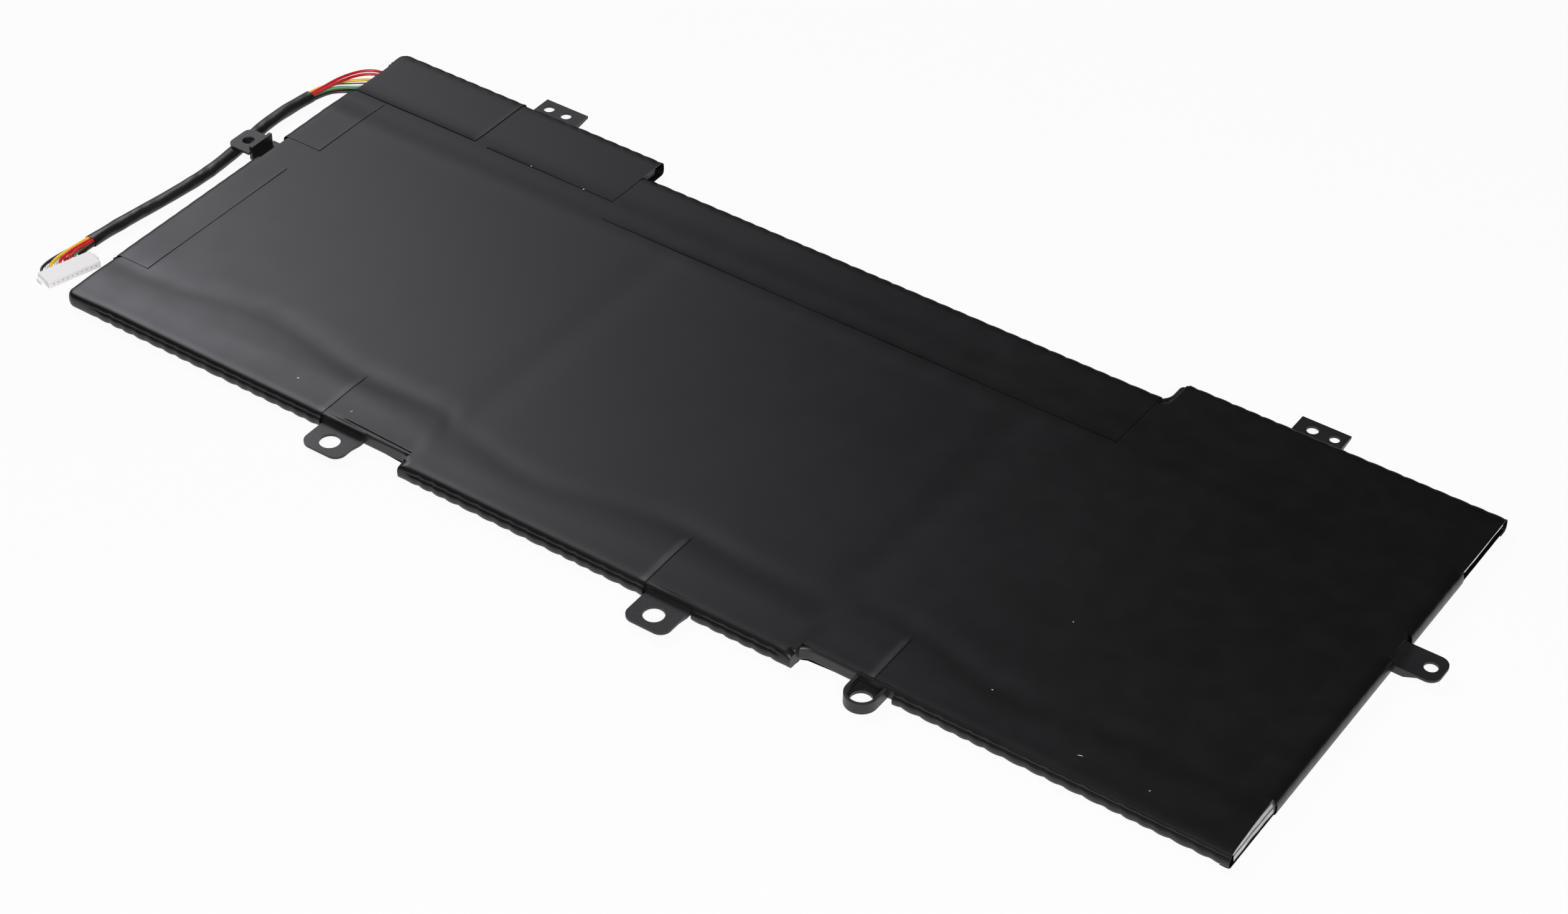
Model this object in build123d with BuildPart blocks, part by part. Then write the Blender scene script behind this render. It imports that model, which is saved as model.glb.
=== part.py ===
from build123d import *
import os
from math import cos, radians, sin, tan

os.makedirs("parts", exist_ok=True)

# A slim three-cell pouch pack for a notebook: a moulded frame with screw ears, three cells in
# series, a protection board at the back left, a two-sheet film wrap, and a cable with a flat plug.
# Millimetres. X runs along the pack, Y from front to back, Z up. The film lies on Z = 0.

# Outline of the wrapped pack
pack_length = 291.8
block_length = 77.3
back_recess = 7.1
channel_length = 11.65
front_edge = -55.7
front_step = 3.1
step_length = 98.6
corner_r = 2.4
rim_r = 1.6

# Sheets and cells
film_t = 0.12
pad_t = 0.14
cell_t = 3.5
cell_length = 92.0
cell_corner_r = 3.0
cell_edge_r = 0.9
terrace_length = 4.0
terrace_t = 0.3
fit_gap = 0.3
film_gap = 0.05

# Moulded frame
wall_t = 0.9
wall_round = 0.7
frame_top = 3.4
tray_t = 0.41
rib_t = 0.8
rib_top = 2.6
sill_top = 1.0
corner_front_length = 17.1
corner_back_length = 20.7
window_in = 18.2
window_length = 11.4
window_low = 0.42
window_top = 2.75

# Ears and eyelet of the frame
ear_t = 0.6
ear_top = 2.1
ear_corner_r = 2.5
gusset_t = 0.8
gusset_low = 0.9
gusset_top_run = 3.4
gusset_low_run = 0.6
end_gusset_top_run = 5.3
end_gusset_low_run = 2.4
web_low = 0.45
front_ear_w = 10.6
front_ear_hole_d = 4.6
left_ear_x = -67.0
left_ear_tip = -63.5
left_ear_hole_y = -59.7
mid_ear_x = 19.6
mid_ear_tip = -67.35
mid_ear_hole_y = -63.3
eyelet_x = 65.8
eyelet_y = -58.5
eyelet_r = 3.6
eyelet_wall = 0.7
eyelet_low = 0.4
eyelet_top = 3.0
eyelet_floor_t = 0.75
end_ear_y = 13.2
end_ear_w = 7.8
end_ear_reach = 9.4
end_ear_hole_reach = 6.4
end_ear_hole_d = 3.0
back_ear_reach = 6.15
back_ear_hole_reach = 3.2
back_left_ear_in = 44.8
back_left_ear_w = 12.0
back_left_holes = ((46.55, 2.65), (41.55, 2.65))
back_right_ear_in = 44.95
back_right_ear_w = 11.7
back_right_holes = ((46.85, 2.7), (41.6, 2.35))

# Cable clip on the left end
clip_plate_y = 11.95
clip_plate_w = 7.9
clip_plate_t = 0.55
clip_hole_reach = 6.2
clip_hole_d = 2.9
clip_corner_r = 1.9
lip_reach = 3.1
lip_y = 12.75
lip_w = 7.1
lip_t = 0.8
strip_y = 13.5
strip_w = 8.0
strip_top = 1.0
cable_gap = 0.06

# Protection board and strips
board_length = 67.0
board_width = 11.0
board_t = 0.8
board_in = 6.8
board_out = 10.75
board_corner_r = 1.0
tab_w = 8.0
tab_t = 0.2
tab_length = 5.0
tab_spread = 22.0
strip_t = 0.2
link_out = 3.15
link_w = 2.4
link_leg_in = 8.2
sense_out = 5.65
sense_w = 1.5
bus_out = 8.15
bus_w = 2.0
landing = 4.0
part_chamfer = 0.1
paper_t = 0.15
tape_t = 0.08
tape_w = 14.0

# Film flaps and openings
fold_level = 2.3
front_lap = 5.7
over = 5.0
end_flap = 9.4
left_back_end_flap = 10.8
back_flap = 19.4
second_flap = 19.9
middle_flap = 19.6
right_flap = 21.7
left_front_flap = (-39.2, 7.6)
left_back_flap = (17.4, 40.9)
right_back_flap_start = 17.0
right_front_flap_end = 9.2
corner_flap = 37.2
flap_step = 3.7
step_lap = 0.4
step_gap_left = 2.0
step_gap_right = 2.6
notch_low = 1.2
shelf = 0.6
slot_side = 0.6

# Cable
wire_d = 0.7
wire_pitch = 0.74
sleeve_w = 3.3
sleeve_h = 2.5
sleeve_wall = 0.15
cable_lift = 0.02
plug_pitch = 1.2
plug_depth = 5.0
plug_height = 1.6
plug_cavity = 0.8
plug_turn = 74.0
plug_rear = (-9.9, -46.1)
plug_end = 1.2
plug_flange = 0.8
plug_flange_depth = 1.8
plug_front_t = 0.6
plug_slot = 0.4
plug_corner_r = 0.3
plug_chamfer = 0.15
plug_flange_height = 0.96
contact_size = 0.7
contact_length = 3.2
wire_seat = 1.0

# Levels and places that follow from the sizes above
half_length = pack_length / 2
half_recess = half_length - block_length
half_step = step_length / 2
step_edge = front_edge - front_step
cell_low = film_t + pad_t
cell_top = cell_low + cell_t
pack_height = cell_top + 2 * film_t
frame_low = 2 * film_t
frame_inset = rim_r - wall_round + film_gap
wall_out = half_length - frame_inset
wall_in = wall_out - wall_t
front_wall_in = front_edge + frame_inset + wall_t
cell_width = (2 * wall_in - 2 * rib_t - 6 * fit_gap) / 3
cell_pitch = cell_width + rib_t + 2 * fit_gap
cell_y = front_wall_in + fit_gap + cell_length / 2
cell_back = cell_y + cell_length / 2
terrace_back = cell_back + terrace_length
recess_edge = terrace_back + channel_length
back_edge = recess_edge + back_recess
recess_wall_in = recess_edge - frame_inset - wall_t
back_wall_in = back_edge - frame_inset - wall_t
corner_front = front_edge + corner_front_length
corner_back = back_edge - corner_back_length
window_front = back_edge - window_in
window_back = window_front + window_length
tray_top = frame_low + tray_t
tray_front = terrace_back + fit_gap
board_top = tray_top + board_t
tab_low = board_top - tab_t
terrace_low = tab_low - (terrace_t - tab_t) / 2
strip_top_z = board_top + strip_t
board_left = board_in - half_length
board_right = board_left + board_length
board_x = board_left + board_length / 2
board_y = terrace_back + board_out
link_y = terrace_back + link_out
sense_y = terrace_back + sense_out
bus_y = terrace_back + bus_out
end_ear_tip = half_length + end_ear_reach
back_ear_tip = back_edge + back_ear_reach
lip_x = -half_length - lip_reach
wire_r = wire_d / 2
cable_z = cable_lift + sleeve_h / 2
clip_plate_low = cable_z + sleeve_h / 2 + cable_gap
clip_plate_top = clip_plate_low + clip_plate_t


def outline():
    """The corners of the wrapped pack in plan, counter-clockwise from the front left."""
    return [
        (-half_length, front_edge),
        (-half_step - front_step / 2, front_edge),
        (-half_step + front_step / 2, step_edge),
        (half_step - front_step / 2, step_edge),
        (half_step + front_step / 2, front_edge),
        (half_length, front_edge),
        (half_length, back_edge),
        (half_recess, back_edge),
        (half_recess, recess_edge),
        (-half_recess, recess_edge),
        (-half_recess, back_edge),
        (-half_length, back_edge),
    ]


def block(x0, x1, y0, y1, z0, z1):
    """A box from its limits, for use inside a part block."""
    return Box(x1 - x0, y1 - y0, z1 - z0, align=(Align.MIN, Align.MIN, Align.MIN), mode=Mode.PRIVATE).locate(
        Location((x0, y0, z0))
    )


def envelope(inset, low, high):
    """The pack's rounded body, drawn in by inset on every side and cut off at two heights."""
    with BuildPart() as body:
        with BuildSketch(Plane.XY.offset(low)) as plan:
            with BuildLine():
                Polyline(*outline(), close=True)
            make_face()
            fillet(plan.vertices(), corner_r)
            if inset > 0:
                offset(amount=-inset, mode=Mode.REPLACE)
        extrude(amount=high - low)
        ends = body.faces().filter_by(Axis.Z)
        fillet(ends.edges(), rim_r - inset)
    return body.part


# Moulded frame: a wall round the cells, two ribs between them and a tray along the back
with BuildPart() as moulded_frame:
    with BuildSketch(Plane.XY.offset(frame_low)) as wall_plan:
        with BuildLine():
            Polyline(*outline(), close=True)
        make_face()
        fillet(wall_plan.vertices(), corner_r)
        offset(amount=-frame_inset, mode=Mode.REPLACE)
        offset(amount=-wall_t, mode=Mode.SUBTRACT)
    extrude(amount=frame_top - frame_low)
    rims = moulded_frame.faces().filter_by(Axis.Z)
    fillet([edge for rim in rims for edge in rim.outer_wire().edges()], wall_round)

    # tray under the board and the strips, in three lengths to follow the wall
    reach = wall_t / 2
    tray_end = half_recess + frame_inset
    tray_back = back_wall_in + reach
    add(block(-wall_in - reach, -tray_end - reach, tray_front, tray_back, frame_low, tray_top))
    add(block(tray_end + reach, wall_in + reach, tray_front, tray_back, frame_low, tray_top))
    add(block(-tray_end, tray_end, tray_front, recess_wall_in + reach, frame_low, tray_top))

    # ribs between the cells, from the front wall to the tray
    for side in (-1, 1):
        rib_x = side * cell_pitch / 2
        wall_middle = (frame_inset + wall_t / 2) * 2**0.5
        rib_front = (front_edge + step_edge) / 2 - half_step + cell_pitch / 2 + wall_middle
        add(block(rib_x - rib_t / 2, rib_x + rib_t / 2, rib_front, tray_front + rib_t, frame_low, rib_top))

    # the right wall drops to a sill at both corners, where the cell shows
    for y0, y1 in ((front_wall_in - wall_t / 2, corner_front), (corner_back, back_wall_in)):
        add(block(wall_in - fit_gap, half_length, y0, y1, sill_top, pack_height), mode=Mode.SUBTRACT)
    # the left wall has a window for the wires
    window = block(-half_length, -wall_in, window_front, window_back, window_low, window_top)
    add(window, mode=Mode.SUBTRACT)

    # two flat ears on the front, each with a screw hole and a gusset below either side
    for ear_x, base, tip, hole_y in (
        (left_ear_x, front_edge, left_ear_tip, left_ear_hole_y),
        (mid_ear_x, step_edge, mid_ear_tip, mid_ear_hole_y),
    ):
        root = base + frame_inset + wall_t / 2
        with BuildSketch(Plane.XY.offset(ear_top)) as plate:
            with Locations((ear_x, (root + tip) / 2)):
                Rectangle(front_ear_w, root - tip)
            fillet(plate.vertices().group_by(Axis.Y)[0], ear_corner_r)
            with Locations((ear_x, hole_y)):
                Circle(front_ear_hole_d / 2, mode=Mode.SUBTRACT)
        extrude(amount=-ear_t)
        for side in (-1, 1):
            edge_x = ear_x + side * (front_ear_w - gusset_t) / 2
            with BuildSketch(Plane.YZ.offset(edge_x)):
                with BuildLine():
                    Polyline(
                        (root, gusset_low),
                        (root, ear_top - ear_t),
                        (base - gusset_top_run, ear_top - ear_t),
                        (base - gusset_low_run, gusset_low),
                        close=True,
                    )
                make_face()
            extrude(amount=gusset_t / 2, both=True)

    # the eyelet: a cup with a raised rim round its screw hole
    with BuildSketch(Plane.XY.offset(eyelet_low)) as cup:
        cup_root = front_edge + frame_inset + wall_t / 2
        with Locations((eyelet_x, eyelet_y)):
            Circle(eyelet_r)
        with Locations((eyelet_x, (eyelet_y + cup_root) / 2)):
            Rectangle(2 * eyelet_r, cup_root - eyelet_y)
    extrude(amount=eyelet_top - eyelet_low)
    with BuildSketch(Plane.XY.offset(eyelet_top)) as cup_inside:
        inner_r = eyelet_r - eyelet_wall
        inner_back = front_edge + frame_inset
        with Locations((eyelet_x, eyelet_y)):
            Circle(inner_r)
        with Locations((eyelet_x, (eyelet_y + inner_back) / 2)):
            Rectangle(2 * inner_r, inner_back - eyelet_y)
    extrude(amount=eyelet_low + eyelet_floor_t - eyelet_top, mode=Mode.SUBTRACT)
    with Locations((eyelet_x, eyelet_y, eyelet_low)):
        Cylinder(
            front_ear_hole_d / 2,
            eyelet_floor_t,
            align=(Align.CENTER, Align.CENTER, Align.MIN),
            mode=Mode.SUBTRACT,
        )

    # the right end ear
    end_root = wall_out - wall_t / 2
    with BuildSketch(Plane.XY.offset(ear_top)) as end_plate:
        with Locations(((end_root + end_ear_tip) / 2, end_ear_y)):
            Rectangle(end_ear_tip - end_root, end_ear_w)
        fillet(end_plate.vertices().group_by(Axis.X)[-1], ear_corner_r)
        with Locations((half_length + end_ear_hole_reach, end_ear_y)):
            Circle(end_ear_hole_d / 2, mode=Mode.SUBTRACT)
    extrude(amount=-ear_t)
    for side in (-1, 1):
        edge_y = end_ear_y + side * (end_ear_w - gusset_t) / 2
        with BuildSketch(Plane.XZ.offset(-edge_y)):
            with BuildLine():
                Polyline(
                    (end_root, frame_low),
                    (end_root, ear_top - ear_t),
                    (half_length + end_gusset_top_run, ear_top - ear_t),
                    (half_length + end_gusset_low_run, frame_low),
                    close=True,
                )
            make_face()
        extrude(amount=gusset_t / 2, both=True)

    # two square ears on the back, with a pair of holes each and a web below either side
    back_root = back_edge - frame_inset - wall_t / 2
    for end, ear_in, ear_w, holes in (
        (-1, back_left_ear_in, back_left_ear_w, back_left_holes),
        (1, back_right_ear_in, back_right_ear_w, back_right_holes),
    ):
        ear_x = end * (half_length - ear_in)
        with BuildSketch(Plane.XY.offset(ear_top)):
            with Locations((ear_x, (back_root + back_ear_tip) / 2)):
                Rectangle(ear_w, back_ear_tip - back_root)
            for hole_in, hole_d in holes:
                with Locations((end * (half_length - hole_in), back_edge + back_ear_hole_reach)):
                    Circle(hole_d / 2, mode=Mode.SUBTRACT)
        extrude(amount=-ear_t)
        for side in (-1, 1):
            edge_x = ear_x + side * (ear_w - gusset_t) / 2
            with BuildSketch(Plane.YZ.offset(edge_x)):
                with BuildLine():
                    Polyline(
                        (back_root, web_low),
                        (back_edge, web_low),
                        (back_ear_tip, ear_top - ear_t),
                        (back_root, ear_top - ear_t),
                        close=True,
                    )
                make_face()
            extrude(amount=gusset_t / 2, both=True)

    # the left end clip: a strip out of the wall, an upright lip and a holed plate over the cable
    lip_left = lip_x - lip_t / 2
    lip_right = lip_x + lip_t / 2
    add(block(lip_left, -end_root, strip_y - strip_w / 2, strip_y + strip_w / 2, eyelet_low, strip_top))
    add(block(lip_left, lip_right, lip_y - lip_w / 2, lip_y + lip_w / 2, eyelet_low, pack_height))
    with BuildSketch(Plane.XY.offset(clip_plate_low)) as clip_plate:
        with Locations(((lip_right - end_ear_tip) / 2, clip_plate_y)):
            Rectangle(end_ear_tip + lip_right, clip_plate_w)
        fillet(clip_plate.vertices().group_by(Axis.X)[0], clip_corner_r)
        with Locations((-half_length - clip_hole_reach, clip_plate_y)):
            Circle(clip_hole_d / 2, mode=Mode.SUBTRACT)
    extrude(amount=clip_plate_t)
moulded_frame.part.label = "moulded_frame"
export_step(moulded_frame.part, "parts/moulded_frame.step")

# Pouch cells on their adhesive pads, each with a sealed terrace towards the back and two tabs
cell_names = ("left", "middle", "right")
for name, cell_x in zip(cell_names, (-cell_pitch, 0, cell_pitch)):
    with BuildPart() as pad:
        with BuildSketch(Plane.XY.offset(film_t)):
            with Locations((cell_x, cell_y)):
                Rectangle(cell_width - 4 * cell_corner_r, cell_length - 4 * cell_corner_r)
        extrude(amount=pad_t)
    pad.part.label = "cell_pad_" + name
    export_step(pad.part, f"parts/cell_pad_{name}.step")

    with BuildPart() as cell:
        with BuildSketch(Plane.XY.offset(cell_low)):
            with Locations((cell_x, cell_y)):
                RectangleRounded(cell_width, cell_length, cell_corner_r)
        extrude(amount=cell_t)
        fillet(cell.faces().filter_by(Axis.Z).edges(), cell_edge_r)
        add(
            block(
                cell_x - cell_width / 2 + cell_corner_r,
                cell_x + cell_width / 2 - cell_corner_r,
                cell_back - cell_edge_r,
                terrace_back,
                terrace_low,
                terrace_low + terrace_t,
            )
        )
    cell.part.label = "pouch_cell_" + name
    export_step(cell.part, f"parts/pouch_cell_{name}.step")

    for pole, side in (("negative", -1), ("positive", 1)):
        with BuildPart() as tab:
            with BuildSketch(Plane.XY.offset(tab_low)):
                with Locations((cell_x + side * tab_spread, terrace_back + tab_length / 2)):
                    Rectangle(tab_w, tab_length)
            extrude(amount=tab_t)
        tab.part.label = f"tab_{pole}_{name}"
        export_step(tab.part, f"parts/tab_{pole}_{name}.step")

    with BuildPart() as tape:
        with BuildSketch(Plane.XY.offset(terrace_low + terrace_t)):
            with Locations((cell_x, cell_back + terrace_length / 2)):
                Rectangle(2 * tab_spread + tape_w, terrace_length)
        extrude(amount=tape_t)
    tape.part.label = "terrace_tape_" + name
    export_step(tape.part, f"parts/terrace_tape_{name}.step")

# Protection board on the tray of the left block, with its parts
with BuildPart() as protection_board:
    with BuildSketch(Plane.XY.offset(tray_top)):
        with Locations((board_x, board_y)):
            RectangleRounded(board_length, board_width, board_corner_r)
    extrude(amount=board_t)
protection_board.part.label = "protection_board"
export_step(protection_board.part, "parts/protection_board.step")

# name: place from the board's left end and from its middle line, then length, width and height
board_parts = {
    "gauge_chip": (35.1, 2.2, 6.0, 5.0, 0.9),
    "safety_chip": (44.1, 2.6, 3.0, 3.0, 0.8),
    "charge_mosfet": (12.6, 2.0, 5.0, 6.0, 1.0),
    "discharge_mosfet": (20.1, 2.0, 5.0, 6.0, 1.0),
    "cell_fuse": (54.6, 2.6, 6.2, 3.2, 1.0),
    "sense_resistor": (27.1, 2.6, 3.2, 6.2, 0.6),
    "thermistor": (48.9, -1.2, 1.6, 0.8, 0.8),
}
for name, (part_x, part_y, size_x, size_y, size_z) in board_parts.items():
    with BuildPart() as component:
        with BuildSketch(Plane.XY.offset(board_top)):
            with Locations((board_left + part_x, board_y + part_y)):
                Rectangle(size_x, size_y)
        extrude(amount=size_z)
        chamfer(component.faces().sort_by(Axis.Z)[-1].edges(), part_chamfer)
    component.part.label = name
    export_step(component.part, f"parts/{name}.step")

# Nickel strips on the tabs: two series links, the second with its sense tail, and two bus strips
link_left_end = -cell_pitch + tab_spread
link_right_end = tab_spread
link_leg_x = board_right - link_leg_in
link_start = min(link_left_end - tab_w / 2, link_leg_x - landing / 2)
with BuildPart() as link_left:
    with BuildSketch(Plane.XY.offset(board_top)):
        link_stop = tab_w / 2 - tab_spread
        with Locations(((link_start + link_stop) / 2, link_y)):
            Rectangle(link_stop - link_start, link_w)
        leg_low = link_y - link_w / 2
        leg_high = board_y - board_width / 2 + landing / 2
        with Locations((link_leg_x, (leg_low + leg_high) / 2)):
            Rectangle(landing, leg_high - leg_low)
    extrude(amount=strip_t)
link_left.part.label = "series_link_left"
export_step(link_left.part, "parts/series_link_left.step")

with BuildPart() as link_right:
    link_end = cell_pitch - tab_spread
    with BuildSketch(Plane.XY.offset(board_top)):
        with Locations(((link_right_end + link_end) / 2, link_y)):
            Rectangle(link_end - link_right_end + tab_w, link_w)
        with Locations((link_right_end, (link_y + sense_y) / 2)):
            Rectangle(sense_w, sense_y - link_y)
        with Locations(((link_right_end + sense_w / 2 + board_right - landing / 2) / 2, sense_y)):
            Rectangle(link_right_end + sense_w / 2 - board_right + landing / 2, sense_w)
    extrude(amount=strip_t)
link_right.part.label = "series_link_right"
export_step(link_right.part, "parts/series_link_right.step")

with BuildPart() as bus_positive:
    bus_end = cell_pitch + tab_spread
    with BuildSketch(Plane.XY.offset(board_top)):
        with Locations(((board_right - landing + bus_end + tab_w / 2) / 2, bus_y)):
            Rectangle(bus_end + tab_w / 2 - board_right + landing, bus_w)
        with Locations((bus_end, (link_y - link_w / 2 + bus_y) / 2)):
            Rectangle(tab_w, bus_y - link_y + link_w / 2)
    extrude(amount=strip_t)
bus_positive.part.label = "bus_strip_positive"
export_step(bus_positive.part, "parts/bus_strip_positive.step")

with BuildPart() as bus_negative:
    bus_low = link_y - link_w / 2
    bus_high = board_y - board_width / 2 + landing
    with BuildSketch(Plane.XY.offset(board_top)):
        with Locations((-cell_pitch - tab_spread, (bus_low + bus_high) / 2)):
            Rectangle(tab_w, bus_high - bus_low)
    extrude(amount=strip_t)
bus_negative.part.label = "bus_strip_negative"
export_step(bus_negative.part, "parts/bus_strip_negative.step")

# Insulating paper over the strips of the middle and the right
with BuildPart() as paper:
    paper_right = bus_end + tab_w / 2
    with BuildSketch(Plane.XY.offset(strip_top_z)):
        with Locations(((board_right + paper_right) / 2, (link_y - link_w / 2 + bus_y + bus_w / 2) / 2)):
            Rectangle(paper_right - board_right, bus_y + bus_w / 2 - link_y + link_w / 2)
    extrude(amount=paper_t)
paper.part.label = "insulating_paper"
export_step(paper.part, "parts/insulating_paper.step")

# Film wrap: the lower sheet folds up round the ends and the back and laps onto the upper sheet
wrap_outside = envelope(0, 0, pack_height)
wrap_between = envelope(film_t, film_t, cell_top + film_t)
wrap_inside = envelope(2 * film_t, 2 * film_t, cell_top)
front_wrap = front_edge + front_lap
far_left = -half_length - over
far_right = half_length + over
far_back = back_edge + over
right_flap_edge = half_length - end_flap
flaps = (
    (far_left, end_flap - half_length, *left_front_flap),
    (far_left, left_back_end_flap - half_length, *left_back_flap),
    (far_left, corner_flap - half_length, back_edge - back_flap, far_back),
    (corner_flap + flap_step - half_length, step_lap - half_recess, back_edge - second_flap, far_back),
    (step_gap_left - half_recess, half_recess - step_lap, recess_edge - middle_flap, far_back),
    (half_recess + step_gap_right, right_flap_edge, back_edge - right_flap, far_back),
    (right_flap_edge + slot_side, far_right, right_back_flap_start, corner_back),
    (right_flap_edge + slot_side, far_right, corner_front, right_front_flap_end),
)
clip_front = strip_y - strip_w / 2 - fit_gap
clip_back = strip_y + strip_w / 2 + fit_gap
ear_front = end_ear_y - end_ear_w / 2 - fit_gap
ear_back = end_ear_y + end_ear_w / 2 + fit_gap
shelf_level = cell_top - shelf
openings = (
    # the cable clip, the right ear, the wires, the open right corners and the left back notch
    (far_left, -wall_in, clip_front, clip_back, film_t, fold_level),
    (wall_in, far_right, ear_front, ear_back, film_t, fold_level),
    (far_left, -wall_in, window_front, window_back, film_t, frame_top),
    (wall_in, far_right, front_edge - over, corner_front, film_t, shelf_level),
    (wall_in, far_right, corner_back, back_edge - corner_r, film_t, shelf_level),
    (-half_recess - rim_r, step_gap_left - half_recess, recess_edge + notch_low, far_back, film_t, shelf_level),
)
ear_slots = (
    (back_left_ear_in - half_length, back_left_ear_w / 2 + fit_gap),
    (half_length - back_right_ear_in, back_right_ear_w / 2 + fit_gap),
)
with BuildPart() as lower_film:
    add(wrap_outside)
    add(wrap_between, mode=Mode.SUBTRACT)
    with BuildSketch(Plane.XY.offset(fold_level)) as kept:
        Rectangle(2 * (half_length + over), 4 * back_edge)
        for x0, x1, y0, y1 in flaps:
            with Locations(((x0 + x1) / 2, (y0 + y1) / 2)):
                Rectangle(x1 - x0, y1 - y0, mode=Mode.SUBTRACT)
    extrude(amount=pack_height, mode=Mode.SUBTRACT)
    add(block(far_left, far_right, step_edge - over, front_wrap, film_t, pack_height), mode=Mode.SUBTRACT)
    for limits in openings:
        add(block(*limits), mode=Mode.SUBTRACT)
    for slot_x, slot_half in ear_slots:
        add(
            block(slot_x - slot_half, slot_x + slot_half, back_wall_in, far_back, film_t, fold_level),
            mode=Mode.SUBTRACT,
        )
lower_film.part.label = "lower_film"
export_step(lower_film.part, "parts/lower_film.step")

with BuildPart() as upper_film:
    add(wrap_between)
    add(wrap_inside, mode=Mode.SUBTRACT)
    add(block(far_left, far_right, front_wrap, far_back, 0, fold_level), mode=Mode.SUBTRACT)
    for limits in openings:
        add(block(*limits), mode=Mode.SUBTRACT)
    # slots for the two front ears and the eyelet
    for x0, x1, deep in (
        (left_ear_x - front_ear_w / 2 - slot_side, -half_step - step_lap, front_edge + rim_r),
        (mid_ear_x - front_ear_w / 2 - slot_side, mid_ear_x + front_ear_w / 2 + slot_side, step_edge + rim_r),
        (half_step, eyelet_x + eyelet_r + 2 * slot_side, front_edge + rim_r),
    ):
        add(block(x0, x1, step_edge - over, deep, 0, shelf_level), mode=Mode.SUBTRACT)
upper_film.part.label = "upper_film"
export_step(upper_film.part, "parts/upper_film.step")

# Cable: ten wires from the board through the window, along the left end in a sleeve, to a flat plug.
# Every route is straight runs joined by tangent arcs, as wide as the shorter run allows.
# X is measured from the pack's left end, and the points near the board have Y from its back edge.
cable_route = (
    (-9.6, 25.5),
    (-7.85, 11.5),
    (-6.8, -1.5),
    (-7.9, -14),
    (-9.55, -26.5),
    (-10.15, -33),
)
sleeve_start = (-8.15, 36.1)
sleeve_end = (-10.4, -36.7)
wires_in = (-7.85, 38.3)
wires_out = (-10.5, -38.2)
row_step = wire_pitch * sin(radians(60))
pad_inset = 0.4
pad_lift = 0.1
pad_first = 2.4
pad_step = 0.82
plug_z = cable_lift + plug_height / 2
along_row = Vector(cos(radians(plug_turn)), sin(radians(plug_turn)), 0)
into_plug = Vector(sin(radians(plug_turn)), -cos(radians(plug_turn)), 0)
left_end = Vector(-half_length, 0, 0)
back_corner = Vector(-half_length, back_edge, 0)
plug_origin = left_end + Vector(plug_rear[0], plug_rear[1], plug_z)

# name: place across the sleeve, row in the sleeve, order at the board, points near the board,
# points near the plug, distance of the last bend from the plug
wires = {
    "wire_01_black": (-1.5, 0, 3, ((2.6, -10.7, 1.4), (-2.5, -13.6, 0.8), (-7.45, -17.65, 0.78)),
                      ((-12.9, -44, 1.07), (-13.3, -48.2, 0.9)), 1.2),
    "wire_02_white": (-1, -1, 4, ((2.6, -11.65, 1.16), (-2.55, -14.45, 0.54), (-6.85, -18.15, 0.42)),
                      ((-12.4, -43.6, 0.42), (-12.7, -47.3, 0.5)), 1.2),
    "wire_03_yellow": (-1, 1, 2, ((2.6, -9.7, 1.8), (-2.7, -12.8, 1.55), (-7, -17.5, 1.55)),
                       ((-12, -43.2, 1.66), (-12.15, -46.4, 1.45)), 1.2),
    "wire_04_white": (-0.5, 0, 5, ((2.6, -12.3, 1.95), (-2.4, -15.7, 1.6), (-6.25, -18.7, 1.57)),
                      ((-11.5, -42.6, 1.04), (-11.9, -45.4, 0.55)), 1.2),
    "wire_05_red": (0, 1, 0, ((2.6, -7.8, 2.2), (-3, -9.3, 2.6), (-6, -16.2, 3)),
                    ((-11.1, -42, 1.9), (-11.25, -44.45, 1.55)), 1.2),
    "wire_06_red": (0, -1, 6, ((2.55, -12.95, 1.16), (-2.5, -15.4, 0.55), (-6.15, -18.55, 0.53)),
                    ((-10.85, -41.4, 0.4), (-11.1, -43.4, 0.4)), 1.2),
    "wire_07_red": (1, 1, 1, ((2.6, -8.7, 2.2), (-2.4, -11, 2.6), (-5, -17, 2.9)),
                    ((-10.1, -40.85, 2), (-10.4, -42.4, 1.65)), 1.3),
    "wire_08_green": (0.5, 0, 8, ((2.6, -14.3, 1.97), (-2.3, -16.9, 1.65), (-5.55, -19.25, 1.7)),
                      ((-10.5, -40.85, 1.17),), 0.9),
    "wire_09_black": (1, -1, 7, ((2.55, -13.8, 1.16), (-2.45, -16.35, 0.5), (-5.45, -18.9, 0.4)),
                      ((-9.9, -39.95, 0.4),), 1.0),
    "wire_10_black": (1.5, 0, 9, ((2.6, -14.9, 1.16), (-2.3, -17.2, 0.63), (-4.8, -19.25, 0.78)), (), 0.9),
}


def arc_radii(points):
    """One radius for each inner point, from 0.45 of the shorter run beside it."""
    radii = []
    for before, here, after in zip(points, points[1:], points[2:]):
        run_in = Vector(here) - Vector(before)
        run_out = Vector(after) - Vector(here)
        turn = radians(run_in.get_angle(run_out))
        radii.append(0.45 * min(run_in.length, run_out.length) / tan(turn / 2))
    return radii


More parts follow.
